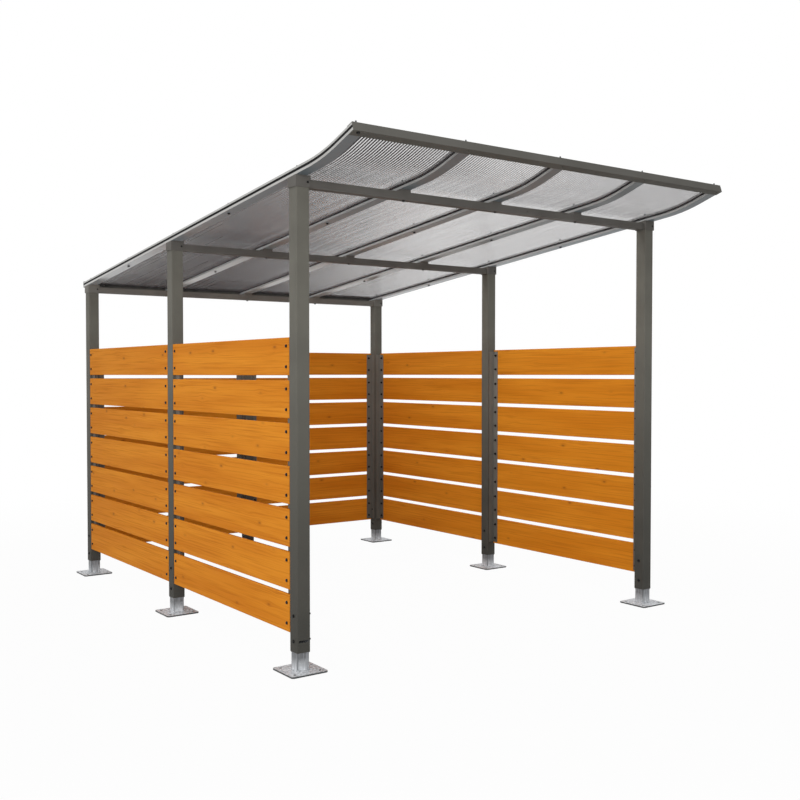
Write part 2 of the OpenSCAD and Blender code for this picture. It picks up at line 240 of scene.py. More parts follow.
# Painted shade: the plate's upright faces, its cut edges and hole walls, are drawn dark.
plate_side_shade = add(tree, "ShaderNodeMath",
               {0: upright.outputs[0], 1: in_plate.outputs[0]}, operation="MULTIPLY")
zinc_colour = add(tree, "ShaderNodeMix",
                  {0: plate_side_shade.outputs[0], 6: corner_dark_zinc.outputs[2], 7: linear("#4A4B4C")},
                  data_type="RGBA")
zinc_rough = add(tree, "ShaderNodeMapRange",
                 {"Value": level, "From Min": 0.0, "From Max": 1.0, "To Min": 0.36, "To Max": 0.52})
zinc_bump = add(tree, "ShaderNodeBump",
                {"Strength": 0.12, "Distance": 0.0006, "Height": runs.outputs["Fac"]})
skin = add(tree, "ShaderNodeBsdfPrincipled",
           {"Base Color": zinc_colour.outputs[2], "Metallic": 0.1,
            "Roughness": zinc_rough.outputs[0], "Specular IOR Level": 0.2,
            "Normal": zinc_bump.outputs[0]})
tree.links.new(skin.outputs[0], output.inputs[0])
print(galvanised.name, "nodes:", len(tree.nodes))

# %% [markdown]
# ## Stained softwood boards
# The walls are planed softwood boards under an orange-brown stain. Softwood shows long streaks from
# its growth rings and small knots drawn out along the board, and the streaks flow round the knots.
# Pictures of wood are the usual way to show that, but they repeat. Here Voronoi cells place the
# knots, and a noise that is stretched along the board and pulled aside near each knot draws the
# streaks. The boards of the side walls run along Y and those of the rear wall along X, so X + Y is
# the way along any board. A board's row comes from its height, and shifts the pattern so that no
# two boards are alike. Real rings are 2 to 4 mm apart, too fine for this picture, so the streaks
# are drawn 9 mm wide.

# %% Stained softwood: rows, knots and flow
BOARD_FOOT_M = 0.1815
BOARD_STEP_M = 0.207
ROW_MARGIN_M = 0.01
ROW_SHIFT_M = 1.731
KNOT_CELL_M = 0.16
KNOT_STRETCH = 2.2
KNOT_PULL_M = 0.04

# A warm orange with long darker streaks, matt like oiled wood, and here and there a brown knot.
timber, tree, output, place = blank_material("stained_softwood")
axes = add(tree, "ShaderNodeSeparateXYZ", {"Vector": place})
run = add(tree, "ShaderNodeMath", {0: axes.outputs["X"], 1: axes.outputs["Y"]}, operation="ADD")
lift = add(tree, "ShaderNodeMath",
           {0: axes.outputs["Z"], 1: BOARD_FOOT_M - ROW_MARGIN_M}, operation="SUBTRACT")
step = add(tree, "ShaderNodeMath", {0: lift.outputs[0], 1: BOARD_STEP_M}, operation="DIVIDE")
row = add(tree, "ShaderNodeMath", {0: step.outputs[0]}, operation="FLOOR")
along = add(tree, "ShaderNodeMath",
            {0: row.outputs[0], 1: ROW_SHIFT_M, 2: run.outputs[0]}, operation="MULTIPLY_ADD")
knot_along = add(tree, "ShaderNodeMath",
                 {0: along.outputs[0], 1: KNOT_STRETCH}, operation="DIVIDE")
face = add(tree, "ShaderNodeCombineXYZ", {"X": knot_along.outputs[0], "Y": axes.outputs["Z"]})
knot = add(tree, "ShaderNodeTexVoronoi",
           {"Vector": face.outputs[0], "Scale": 1 / KNOT_CELL_M, "Randomness": 0.9},
           voronoi_dimensions="2D")
knot_gap = add(tree, "ShaderNodeMath",
               {0: knot.outputs["Distance"], 1: KNOT_CELL_M}, operation="MULTIPLY")
knot_kind = add(tree, "ShaderNodeSeparateColor", {"Color": knot.outputs["Color"]}).outputs[0]
knot_height = add(tree, "ShaderNodeSeparateXYZ", {"Vector": knot.outputs["Position"]}).outputs["Y"]
off_knot = add(tree, "ShaderNodeMath",
               {0: axes.outputs["Z"], 1: knot_height}, operation="SUBTRACT")
pull = add(tree, "ShaderNodeMapRange",
           {"Value": knot_gap.outputs[0], "From Min": 0.0, "From Max": KNOT_PULL_M,
            "To Min": -0.7, "To Max": 0.0}, interpolation_type="SMOOTHSTEP")
flow = add(tree, "ShaderNodeMath",
           {0: off_knot.outputs[0], 1: pull.outputs[0], 2: axes.outputs["Z"]},
           operation="MULTIPLY_ADD")
grain_place = add(tree, "ShaderNodeCombineXYZ", {"X": along.outputs[0], "Y": flow.outputs[0]})
print("knot cell in mm:", KNOT_CELL_M * 1000, "drawn out", KNOT_STRETCH, "times")

# %% Stained softwood: streaks and bands
STREAK_LONG_M = 0.5
STREAK_WIDE_M = 0.009
BANDS_PER_M = (0.9, 11.0, 0.0)

streak_place = add(tree, "ShaderNodeVectorMath",
                   {0: grain_place.outputs[0],
                    1: (1 / STREAK_LONG_M, 1 / STREAK_WIDE_M, 0.0)}, operation="MULTIPLY")
streak = add(tree, "ShaderNodeTexNoise",
             {"Vector": streak_place.outputs[0], "Scale": 1.0, "Detail": 4.0, "Roughness": 0.6},
             noise_dimensions="2D")
band_place = add(tree, "ShaderNodeVectorMath",
                 {0: grain_place.outputs[0], 1: BANDS_PER_M}, operation="MULTIPLY")
band = add(tree, "ShaderNodeTexNoise",
           {"Vector": band_place.outputs[0], "Scale": 1.0, "Detail": 2.0}, noise_dimensions="2D")
band_share = add(tree, "ShaderNodeMapRange",
                 {"Value": band.outputs["Fac"], "From Min": 0.3, "From Max": 0.7,
                  "To Min": 0.0, "To Max": 1.0})
early = add(tree, "ShaderNodeMix",
            {0: band_share.outputs[0], 6: linear("#D5801B"), 7: linear("#E39026")},
            data_type="RGBA")
late_share = add(tree, "ShaderNodeMapRange",
                 {"Value": streak.outputs["Fac"], "From Min": 0.46, "From Max": 0.74,
                  "To Min": 0.0, "To Max": 0.62})
grain = add(tree, "ShaderNodeMix",
            {0: late_share.outputs[0], 6: early.outputs[2], 7: linear("#B86614")},
            data_type="RGBA")
print("streak in mm:", STREAK_LONG_M * 1000, "by", STREAK_WIDE_M * 1000)

# %% Stained softwood: dark knots and the finished wood
KNOT_HALO_M = (0.003, 0.018)
KNOT_CORE_M = (0.002, 0.008)

halo = add(tree, "ShaderNodeMapRange",
           {"Value": knot_gap.outputs[0], "From Min": KNOT_HALO_M[0], "From Max": KNOT_HALO_M[1],
            "To Min": 0.42, "To Max": 0.0}, interpolation_type="SMOOTHSTEP")
core = add(tree, "ShaderNodeMapRange",
           {"Value": knot_gap.outputs[0], "From Min": KNOT_CORE_M[0], "From Max": KNOT_CORE_M[1],
            "To Min": 0.5, "To Max": 0.0}, interpolation_type="SMOOTHSTEP")
dark_knot = add(tree, "ShaderNodeMapRange",
                {"Value": knot_kind, "From Min": 0.25, "From Max": 0.8,
                 "To Min": 0.0, "To Max": 1.0})
halo_share = add(tree, "ShaderNodeMath",
                 {0: halo.outputs[0], 1: dark_knot.outputs[0]}, operation="MULTIPLY")
core_share = add(tree, "ShaderNodeMath",
                 {0: core.outputs[0], 1: dark_knot.outputs[0]}, operation="MULTIPLY")
ringed = add(tree, "ShaderNodeMix",
             {0: halo_share.outputs[0], 6: grain.outputs[2], 7: linear("#B0621A")},
             data_type="RGBA")
wood_colour = add(tree, "ShaderNodeMix",
                  {0: core_share.outputs[0], 6: ringed.outputs[2], 7: linear("#7C4514")},
                  data_type="RGBA")
wood_rough = add(tree, "ShaderNodeMapRange",
                 {"Value": streak.outputs["Fac"], "From Min": 0.3, "From Max": 0.7,
                  "To Min": 0.58, "To Max": 0.70})
wood_bump = add(tree, "ShaderNodeBump",
                {"Strength": 0.25, "Distance": 0.0008, "Height": streak.outputs["Fac"]})
skin = add(tree, "ShaderNodeBsdfPrincipled",
           {"Base Color": wood_colour.outputs[2], "Roughness": wood_rough.outputs[0],
            "Specular IOR Level": 0.08, "Normal": wood_bump.outputs[0]})
tree.links.new(skin.outputs[0], output.inputs[0])
print(timber.name, "nodes:", len(tree.nodes))

# %% [markdown]
# ## Slit aluminium bar
# Rafters and caps are flat aluminium bars cut from coated stock. The wide faces keep a satin grey
# coat. The slit edges show bare metal along the two sides of the roof. Further in, the sideways
# faces are painted nearly as pale, painted light on faces that lie in shade under the sheets. Two
# materials on chosen faces could show that, but the face normal tells edge from face without
# touching the mesh: on these bars an edge faces sideways, along X. The coat is painted darker
# towards the bend, painted shade, and paler and bluer to the rear, a painted reflection of the
# white around it; it is also smoother to the rear. Real rolling lines are finer than 1 mm and would
# not show, so they are drawn at 4 mm.

# %% Slit aluminium bar: edges and rolling lines
ROLL_LINE_M = 0.004
ROLL_LINES_PER_M = 1.6
OUTER_EDGE_M = 1.25
INNER_SIDE_PAINTED_LIGHT = 0.75

# Pale lines along the edges, bare metal at the roof's sides and painted light further in, and a
# soft grey sheen on the flat faces.
slit_bar, tree, output, place = blank_material("slit_aluminium_bar")
facing = add(tree, "ShaderNodeTexCoord").outputs["Normal"]
sideways = add(tree, "ShaderNodeSeparateXYZ", {"Vector": facing}).outputs["X"]
edge_on = add(tree, "ShaderNodeMath", {0: sideways}, operation="ABSOLUTE")
axes = add(tree, "ShaderNodeSeparateXYZ", {"Vector": place})
off_centre = add(tree, "ShaderNodeMath", {0: axes.outputs["X"]}, operation="ABSOLUTE")
outermost = add(tree, "ShaderNodeMath",
                {0: off_centre.outputs[0], 1: OUTER_EDGE_M}, operation="GREATER_THAN")
# Painted light: inner sideways faces, in shade under the sheets, are drawn nearly as pale as the
# bare outer edges.
side_paleness = add(tree, "ShaderNodeMapRange",
           {"Value": outermost.outputs[0], "To Min": INNER_SIDE_PAINTED_LIGHT, "To Max": 1.0})
pale_side_share = add(tree, "ShaderNodeMath",
                 {0: edge_on.outputs[0], 1: side_paleness.outputs[0]}, operation="MULTIPLY")
roll_place = add(tree, "ShaderNodeVectorMath",
                 {0: place, 1: (1 / ROLL_LINE_M, ROLL_LINES_PER_M, 1 / ROLL_LINE_M)},
                 operation="MULTIPLY")
roll = add(tree, "ShaderNodeTexNoise",
           {"Vector": roll_place.outputs[0], "Scale": 1.0, "Detail": 2.0})
roll_share = add(tree, "ShaderNodeMapRange",
                 {"Value": roll.outputs["Fac"], "From Min": 0.3, "From Max": 0.7,
                  "To Min": 0.0, "To Max": 1.0})
print("rolling lines in mm:", ROLL_LINE_M * 1000)

# %% Slit aluminium bar: coat, bare metal and shine
BEND_SHADE_Y = (-1.75, -1.0)
REAR_REFLECTION_Y = (-1.2, 1.75)
SMOOTHED_Y = (-0.8, 1.2)

plain_coat = add(tree, "ShaderNodeMix",
                 {0: roll_share.outputs[0], 6: linear("#6F7B83"), 7: linear("#7B878F")},
                 data_type="RGBA")
# Painted shade: the coat is drawn darker towards the bend at the front.
painted_bend_shade = add(tree, "ShaderNodeMapRange",
             {"Value": axes.outputs["Y"], "From Min": BEND_SHADE_Y[0], "From Max": BEND_SHADE_Y[1],
              "To Min": 1.0, "To Max": 0.0}, interpolation_type="SMOOTHSTEP")
bend_shaded_coat = add(tree, "ShaderNodeMix",
                {0: painted_bend_shade.outputs[0], 6: plain_coat.outputs[2], 7: linear("#666B6E")},
                data_type="RGBA")
# Painted reflection: the coat is drawn paler and bluer towards the rear.
painted_rear_reflection = add(tree, "ShaderNodeMapRange",
              {"Value": axes.outputs["Y"], "From Min": REAR_REFLECTION_Y[0], "From Max": REAR_REFLECTION_Y[1],
               "To Min": 0.0, "To Max": 1.0})
coated = add(tree, "ShaderNodeMix",
             {0: painted_rear_reflection.outputs[0], 6: bend_shaded_coat.outputs[2], 7: linear("#BFC9D1")},
             data_type="RGBA")
bare_and_lit_side = add(tree, "ShaderNodeMix",
           {0: roll_share.outputs[0], 6: linear("#A9A8A5"), 7: linear("#BBBAB7")},
           data_type="RGBA")
bar_colour = add(tree, "ShaderNodeMix",
                 {0: pale_side_share.outputs[0], 6: coated.outputs[2], 7: bare_and_lit_side.outputs[2]},
                 data_type="RGBA")
bar_metal = add(tree, "ShaderNodeMath",
                {0: edge_on.outputs[0], 1: outermost.outputs[0]}, operation="MULTIPLY")
bar_rough = add(tree, "ShaderNodeMapRange",
                {"Value": axes.outputs["Y"], "From Min": SMOOTHED_Y[0], "From Max": SMOOTHED_Y[1],
                 "To Min": 0.45, "To Max": 0.16})
skin = add(tree, "ShaderNodeBsdfPrincipled",
           {"Base Color": bar_colour.outputs[2], "Metallic": bar_metal.outputs[0],
            "Roughness": bar_rough.outputs[0], "Specular IOR Level": 0.5})
tree.links.new(skin.outputs[0], output.inputs[0])
print(slit_bar.name, "nodes:", len(tree.nodes))

# %% [markdown]
# ## Black rubber seals
# The strips that bed the sheets are EPDM rubber: nearly black, matt, with a grey bloom of dust.
# They are only 18 mm wide, so one noise is enough.

# %% Rubber seals
BLOOM_M = 0.05

# Nearly black and without shine.
rubber, tree, output, place = blank_material("epdm_rubber")
bloom = add(tree, "ShaderNodeTexNoise", {"Vector": place, "Scale": 1 / BLOOM_M, "Detail": 3.0})
rubber_colour = add(tree, "ShaderNodeMix",
                    {0: bloom.outputs["Fac"], 6: linear("#0A0A0B"), 7: linear("#171718")},
                    data_type="RGBA")
rubber_rough = add(tree, "ShaderNodeMapRange",
                   {"Value": bloom.outputs["Fac"], "From Min": 0.3, "From Max": 0.7,
                    "To Min": 0.6, "To Max": 0.75})
skin = add(tree, "ShaderNodeBsdfPrincipled",
           {"Base Color": rubber_colour.outputs[2], "Roughness": rubber_rough.outputs[0],
            "Specular IOR Level": 0.1})
tree.links.new(skin.outputs[0], output.inputs[0])
print(rubber.name, "nodes:", len(tree.nodes))

# %% [markdown]
# ## Twin-wall polycarbonate
# The roof sheets are extruded clear plastic: two thin skins joined by upright ribs, with real cells
# in the CAD model. True glass would be the first idea, but light hardly finds its way through so
# many walls. So the sheets are see-through by alpha: the skins let most of the light pass, and the
# ribs catch it and look grey. The face normal picks out the ribs, which face sideways. Seen along
# the cells the ribs draw dark lines with the sky between them, and seen across they close up to an
# even grey. A noise with a step of about one cell makes no rib quite as clear as the next. The
# skins are made less clear towards the left side, painted shade that darkens the sheets there. In
# the bend the skins are left without it, and the ribs follow a rule of their own, closing up faster
# with the slant.

# %% Twin-wall sheet: skins and dust
RIB_FACES_X = 0.7
DRAWN_PER_M = (9.0, 1.1, 9.0)
SHADED_LEFT_X = (-1.25, -0.1)
BENT_Y = (-1.65, -1.38)

# A clear skin with a faint haze over rows of grey ribs.
twinwall, tree, output, place = blank_material("twinwall_polycarbonate")
facing = add(tree, "ShaderNodeTexCoord").outputs["Normal"]
sideways = add(tree, "ShaderNodeSeparateXYZ", {"Vector": facing}).outputs["X"]
edge_on = add(tree, "ShaderNodeMath", {0: sideways}, operation="ABSOLUTE")
rib = add(tree, "ShaderNodeMath", {0: edge_on.outputs[0], 1: RIB_FACES_X},
          operation="GREATER_THAN")
flow_place = add(tree, "ShaderNodeVectorMath",
                 {0: place, 1: DRAWN_PER_M}, operation="MULTIPLY")
draw = add(tree, "ShaderNodeTexNoise",
           {"Vector": flow_place.outputs[0], "Scale": 1.0, "Detail": 3.0})
rib_tone = add(tree, "ShaderNodeMix",
               {0: draw.outputs["Fac"], 6: linear("#3A3638"), 7: linear("#464244")},
               data_type="RGBA")
sheet_colour = add(tree, "ShaderNodeMix",
                   {0: rib.outputs[0], 6: linear("#9A9597"), 7: rib_tone.outputs[2]},
                   data_type="RGBA")
haze = add(tree, "ShaderNodeMapRange",
           {"Value": draw.outputs["Fac"], "From Min": 0.3, "From Max": 0.7,
            "To Min": 0.085, "To Max": 0.105})
axes = add(tree, "ShaderNodeSeparateXYZ", {"Vector": place})
# Painted shade: the skins are made less clear towards the left, so the sheets look darker there.
painted_left_shade = add(tree, "ShaderNodeMapRange",
           {"Value": axes.outputs["X"], "From Min": SHADED_LEFT_X[0], "From Max": SHADED_LEFT_X[1],
            "To Min": 0.05, "To Max": 0.0})
bent = add(tree, "ShaderNodeMapRange",
           {"Value": axes.outputs["Y"], "From Min": BENT_Y[0], "From Max": BENT_Y[1],
            "To Min": 1.0, "To Max": 0.0}, interpolation_type="SMOOTHSTEP")
outside_bend = add(tree, "ShaderNodeMath",
              {0: bent.outputs[0], 1: -1.0, 2: 1.0}, operation="MULTIPLY_ADD")
skin_alpha = add(tree, "ShaderNodeMath",
                 {0: painted_left_shade.outputs[0], 1: outside_bend.outputs[0], 2: haze.outputs[0]},
                 operation="MULTIPLY_ADD")
print("skins are bent between Y in m:", BENT_Y)

# %% Twin-wall sheet: how clear each rib is
OVER_BEAM_Y = (-1.27, -1.20)
RIB_STEP_M = 0.02
SEEN_LAYERS = 48

slant = add(tree, "ShaderNodeLayerWeight", {"Blend": 0.5})
rib_least = add(tree, "ShaderNodeMapRange",
                {"Value": axes.outputs["Y"], "From Min": OVER_BEAM_Y[0], "From Max": OVER_BEAM_Y[1],
                 "To Min": 0.19, "To Max": 0.105})
rib_alpha = add(tree, "ShaderNodeMapRange",
                {"Value": slant.outputs["Facing"], "From Min": 0.38, "From Max": 0.63,
                 "To Min": rib_least.outputs[0], "To Max": 0.93}, interpolation_type="SMOOTHSTEP")
bent_alpha = add(tree, "ShaderNodeMapRange",
                 {"Value": slant.outputs["Facing"], "From Min": 0.35, "From Max": 0.46,
                  "To Min": 0.25, "To Max": 0.97})
each_rib = add(tree, "ShaderNodeTexNoise",
               {"W": axes.outputs["X"], "Scale": 1 / RIB_STEP_M, "Detail": 0.0},
               noise_dimensions="1D")
rib_share = add(tree, "ShaderNodeMapRange",
                {"Value": each_rib.outputs["Fac"], "From Min": 0.3, "From Max": 0.7,
                 "To Min": 0.86, "To Max": 1.14})
own_alpha = add(tree, "ShaderNodeMath",
                {0: rib_alpha.outputs[0], 1: rib_share.outputs[0]}, operation="MULTIPLY")
cloudy = add(tree, "ShaderNodeMix",
             {0: bent.outputs[0], 2: own_alpha.outputs[0], 3: bent_alpha.outputs[0]},
             data_type="FLOAT")
sheet_alpha = add(tree, "ShaderNodeMix",
                  {0: rib.outputs[0], 2: skin_alpha.outputs[0], 3: cloudy.outputs[0]},
                  data_type="FLOAT")
skin = add(tree, "ShaderNodeBsdfPrincipled",
           {"Base Color": sheet_colour.outputs[2], "Roughness": 0.22, "IOR": 1.58,
            "Specular IOR Level": 0.1, "Alpha": sheet_alpha.outputs[0]})
tree.links.new(skin.outputs[0], output.inputs[0])
scene.cycles.transparent_max_bounces = SEEN_LAYERS
print(twinwall.name, "see-through layers counted:", SEEN_LAYERS)

# %% [markdown]
# ## Black zinc fasteners
# Bolts, washers and nuts are steel with a black zinc plating: dark, with a soft shine and lighter
# worn patches. In the picture they are only a few pixels wide, so one noise gives the wear.

# %% Black zinc
WEAR_M = 0.008

# Small dark points with a dull gleam.
black_zinc, tree, output, place = blank_material("black_zinc_plating")
wear = add(tree, "ShaderNodeTexNoise", {"Vector": place, "Scale": 1 / WEAR_M, "Detail": 2.0})
wear_share = add(tree, "ShaderNodeMapRange",
                 {"Value": wear.outputs["Fac"], "From Min": 0.5, "From Max": 0.8,
                  "To Min": 0.0, "To Max": 0.6})
zinc_black = add(tree, "ShaderNodeMix",
                 {0: wear_share.outputs[0], 6: linear("#121212"), 7: linear("#2C2C2C")},
                 data_type="RGBA")
skin = add(tree, "ShaderNodeBsdfPrincipled",
           {"Base Color": zinc_black.outputs[2], "Metallic": 0.2, "Roughness": 0.42,
            "Specular IOR Level": 0.3})
tree.links.new(skin.outputs[0], output.inputs[0])
print(black_zinc.name, "nodes:", len(tree.nodes))

# %% [markdown]
# ## Finishes on the construction
# Each CAD node keeps its shape and only gets a better finish. A list of all nodes would be long, so
# the first word of a node's name picks its finish. The rear beam has a paler coat, painted light,
# and is listed by its whole name.

# %% Give every node its finish
FINISHES = {
    "post": powder_coat, "beam": beam_painted_shade_coat, "edge": edge_coat, "angles": angle_coat,
    "foot": galvanised, "boards": timber, "rafter": slit_bar, "cap": slit_bar,
    "seals": rubber, "sheet": twinwall, "beam_rear": rear_beam_painted_light_coat,
}
for name, node in nodes.items():
    finish = FINISHES.get(name) or FINISHES[name.split("_")[0]]
    for place_slot in node.material_slots:
        place_slot.material = finish
print("finished nodes:", len(nodes))

# %% [markdown]
# ## Bolt ends from one node tree
# The shelter has some hundreds of bolt heads and nuts. They are one idea: a washer, a head with six
# sides or round, a chamfered crown, and perhaps a thread end. Copies could be set out one by one,
# but a Geometry Nodes tree builds that shape once and sets it on every point of a mesh, turned to
# face along the point's "outward" direction. Each head is turned by a seeded random angle, as a
# spanner leaves it.

# %% The bolt end tree
BOLT_SIZES = (
    ("Washer width", "NodeSocketFloat", 0.018), ("Washer thickness", "NodeSocketFloat", 0.0016),
    ("Head width", "NodeSocketFloat", 0.014), ("Head height", "NodeSocketFloat", 0.006),
    ("Crown width", "NodeSocketFloat", 0.011), ("Head sides", "NodeSocketInt", 6),
    ("Thread width", "NodeSocketFloat", 0.007), ("Thread length", "NodeSocketFloat", 0.004),
    ("Seed", "NodeSocketInt", 7), ("Finish", "NodeSocketMaterial", None),
)
SINK_M = 0.0003
WALL_SHARE = 0.65
WASHER_SIDES = 12
THREAD_SIDES = 8

bolt_end = bpy.data.node_groups.new("bolt_end", "GeometryNodeTree")
bolt_end.interface.new_socket("Points", in_out="INPUT", socket_type="NodeSocketGeometry")
for size_name, kind, value in BOLT_SIZES:
    socket = bolt_end.interface.new_socket(size_name, in_out="INPUT", socket_type=kind)
    if value is not None:
        socket.default_value = value
bolt_end.interface.new_socket("Bolts", in_out="OUTPUT", socket_type="NodeSocketGeometry")
given = add(bolt_end, "NodeGroupInput").outputs


def stacked(sides, bottom, top, tall, base):
    """A tapered disc with so many sides, standing at the height base."""
    disc = add(bolt_end, "GeometryNodeMeshCone",
               {"Vertices": sides, "Radius Bottom": bottom, "Radius Top": top, "Depth": tall})
    up = add(bolt_end, "ShaderNodeCombineXYZ", {"Z": base}).outputs[0]
    return add(bolt_end, "GeometryNodeTransform",
               {"Geometry": disc.outputs["Mesh"], "Translation": up}).outputs[0]


head_wall = add(bolt_end, "ShaderNodeMath",
                {0: given["Head height"], 1: WALL_SHARE}, operation="MULTIPLY").outputs[0]
crown_tall = add(bolt_end, "ShaderNodeMath",
                 {0: given["Head height"], 1: head_wall}, operation="SUBTRACT").outputs[0]
head_base = add(bolt_end, "ShaderNodeMath",
                {0: given["Washer thickness"], 1: SINK_M}, operation="SUBTRACT").outputs[0]
crown_base = add(bolt_end, "ShaderNodeMath",
                 {0: head_base, 1: head_wall}, operation="ADD").outputs[0]
thread_base = add(bolt_end, "ShaderNodeMath",
                  {0: head_base, 1: given["Head height"]}, operation="ADD").outputs[0]
head_half, crown_half, washer_half, thread_half = (
    add(bolt_end, "ShaderNodeMath",
        {0: given[f"{part} width"], 1: 0.5}, operation="MULTIPLY").outputs[0]
    for part in ("Head", "Crown", "Washer", "Thread"))
solids = [
    stacked(WASHER_SIDES, washer_half, washer_half, given["Washer thickness"], 0.0),
    stacked(given["Head sides"], head_half, head_half, head_wall, head_base),
    stacked(given["Head sides"], head_half, crown_half, crown_tall, crown_base),
    stacked(THREAD_SIDES, thread_half, thread_half, given["Thread length"], thread_base),
]
print("solids in a bolt end:", len(solids))

# %% One bolt end on every point
one_bolt = add(bolt_end, "GeometryNodeJoinGeometry")
for solid in solids:
    bolt_end.links.new(solid, one_bolt.inputs[0])
outward = add(bolt_end, "GeometryNodeInputNamedAttribute", {"Name": "outward"},
              data_type="FLOAT_VECTOR")
upright = add(bolt_end, "FunctionNodeAlignRotationToVector",
              {"Vector": outward.outputs[0]}, axis="Z")
spanner = add(bolt_end, "FunctionNodeRandomValue",
              {2: 0.0, 3: 2 * math.pi, "Seed": given["Seed"]}, data_type="FLOAT")
turn = add(bolt_end, "FunctionNodeAxisAngleToRotation", {"Angle": spanner.outputs[1]})
turned = add(bolt_end, "FunctionNodeRotateRotation",
             {0: upright.outputs[0], 1: turn.outputs[0]}, rotation_space="LOCAL")
placed = add(bolt_end, "GeometryNodeInstanceOnPoints",
             {"Points": given["Points"], "Instance": one_bolt.outputs[0],
              "Rotation": turned.outputs[0]})
solid_bolts = add(bolt_end, "GeometryNodeRealizeInstances", {0: placed.outputs[0]})
plated = add(bolt_end, "GeometryNodeSetMaterial",
             {"Geometry": solid_bolts.outputs[0], "Material": given["Finish"]})
add(bolt_end, "NodeGroupOutput", {0: plated.outputs[0]})
print("bolt tree nodes:", len(bolt_end.nodes))

# %% [markdown]
# ## Finding where a bolt sits
# A bolt head must touch what carries it. Its place could be worked out from the drawing, but a ray
# shot at a part of the construction simply returns the point where it lands and the way that
# surface faces, also on the bent roof. The construction has a hole at each bolt, so the ray lands
# beside the hole, and the point is moved back to the bolt's axis.

# %% Landing points and the bolt maker
bpy.context.view_layer.update()


def landing(start, direction, *names, beside=(0, 0, 0)):
    """The nearest point that a ray meets on the named nodes, with the way its surface faces."""
    start, direction = Vector(start) + Vector(beside), Vector(direction)
    found = []
    for name in names:
        hit, point, normal, _ = nodes[name].ray_cast(start, direction)
        if hit:
            found.append(((point - start).length, point, normal))
    if not found:
        raise ValueError(f"nothing to carry a bolt at {tuple(start)} on {names}")
    _, point, normal = min(found, key=lambda item: item[0])
    outward = (-normal if normal.dot(direction) > 0 else normal).normalized()
    return point - Vector(beside), outward


def bolts(name, places, finish, slot, **sizes):
    """One mesh of bolt ends on the given (point, outward) places."""
    mesh = bpy.data.meshes.new(name)
    mesh.from_pydata([tuple(point) for point, _ in places], [], [])
    facing = mesh.attributes.new("outward", "FLOAT_VECTOR", "POINT")
    facing.data.foreach_set("vector", [v for _, way in places for v in way])
    piece = bpy.data.objects.new(name, mesh)
    scene.collection.objects.link(piece)
    maker = piece.modifiers.new("bolts", "NODES")
    maker.node_group = bolt_end
    for item in bolt_end.interface.items_tree:
        if item.in_out == "INPUT" and item.name in sizes:
            maker[item.identifier] = sizes[item.name]
        elif item.in_out == "INPUT" and item.name == "Finish":
            maker[item.identifier] = finish
    ready = piece.evaluated_get(bpy.context.evaluated_depsgraph_get())
    solid = bpy.data.meshes.new_from_object(ready)
    piece.modifiers.clear()
    piece.data = solid
    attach(piece, "root")
    print(name, "bolts:", len(places), "faces:", len(solid.polygons))


# %% [markdown]
# ## Bolts through the boards
# Two bolts hold each end of every board to its steel angle: a low round head outside, and a washer,
# nut and thread end on the angle inside. The bolts stand 68 mm from the post's axis and 50 mm above
# and below the middle of the board.

# %% Board bolts
def middle(name, axis):
    """The middle of a node's box along X (0) or Y (1)."""
    low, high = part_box(name)
    return (low[axis] + high[axis]) / 2


POST_X = {side: middle(f"post_front_{side}", 0) for side in ("left", "right")}
POST_Y = {row_name: middle(f"post_{row_name}_left", 1) for row_name in ("front", "mid", "rear")}
REAR_MID_X = middle("post_rear_mid", 0)
BOARD_ROWS = 7
BOARD_HALF_M = 0.09125
BOLT_OFF_AXIS = 0.068
BOLT_OFF_MIDDLE = 0.050
OUTSIDE_M = 3.0
BESIDE_M = 0.007

bolt_heights = [BOARD_FOOT_M + BOARD_HALF_M + i * BOARD_STEP_M + way * BOLT_OFF_MIDDLE
                for i in range(BOARD_ROWS) for way in (-1, 1)]
board_heads, board_nuts = [], []
for side, out in (("left", -1), ("right", 1)):
    for bay, near, far in (("front", "front", "mid"), ("rear", "mid", "rear")):
        for y in (POST_Y[near] + BOLT_OFF_AXIS, POST_Y[far] - BOLT_OFF_AXIS):
            for z in bolt_heights:
                board_heads.append(landing((out * OUTSIDE_M, y, z), (-out, 0, 0),
                                           f"boards_{side}_{bay}", beside=(0, 0, BESIDE_M)))
                board_nuts.append(landing((0, y, z), (out, 0, 0), f"angles_{side}",
                                          beside=(0, 0, BESIDE_M)))
for side, near, far in (("left", POST_X["left"], REAR_MID_X),
                        ("right", REAR_MID_X, POST_X["right"])):
    for x in (near + BOLT_OFF_AXIS, far - BOLT_OFF_AXIS):
        for z in bolt_heights:
            board_heads.append(landing((x, OUTSIDE_M, z), (0, -1, 0), f"boards_rear_{side}",
                                       beside=(0, 0, BESIDE_M)))
            board_nuts.append(landing((x, 0, z), (0, 1, 0), "angles_rear",
                                      beside=(0, 0, BESIDE_M)))
print("board bolts found:", len(board_heads), "and nuts:", len(board_nuts))

# %% Heads and nuts of the board bolts
bolts("board_bolt_heads", board_heads, black_zinc, "powdercoat",
      **{"Washer width": 0.017, "Washer thickness": 0.0014, "Head width": 0.0145,
         "Head height": 0.0048, "Crown width": 0.008, "Head sides": 12,
         "Thread width": 0.005, "Thread length": 0.0006})
bolts("board_bolt_nuts", board_nuts, black_zinc, "powdercoat",
      **{"Washer width": 0.018, "Head width": 0.0145, "Head height": 0.0065,
         "Crown width": 0.0125, "Thread width": 0.008, "Thread length": 0.005})

# %% [markdown]
# ## Bolts through the feet
# Each post slides over the stub of its foot, and two bolts cross both. Their hexagon heads sit on
# the left face of the post, and nuts on the right face.

# %% Foot bolts
FOOT_BOLT_Z = (0.147, 0.270)

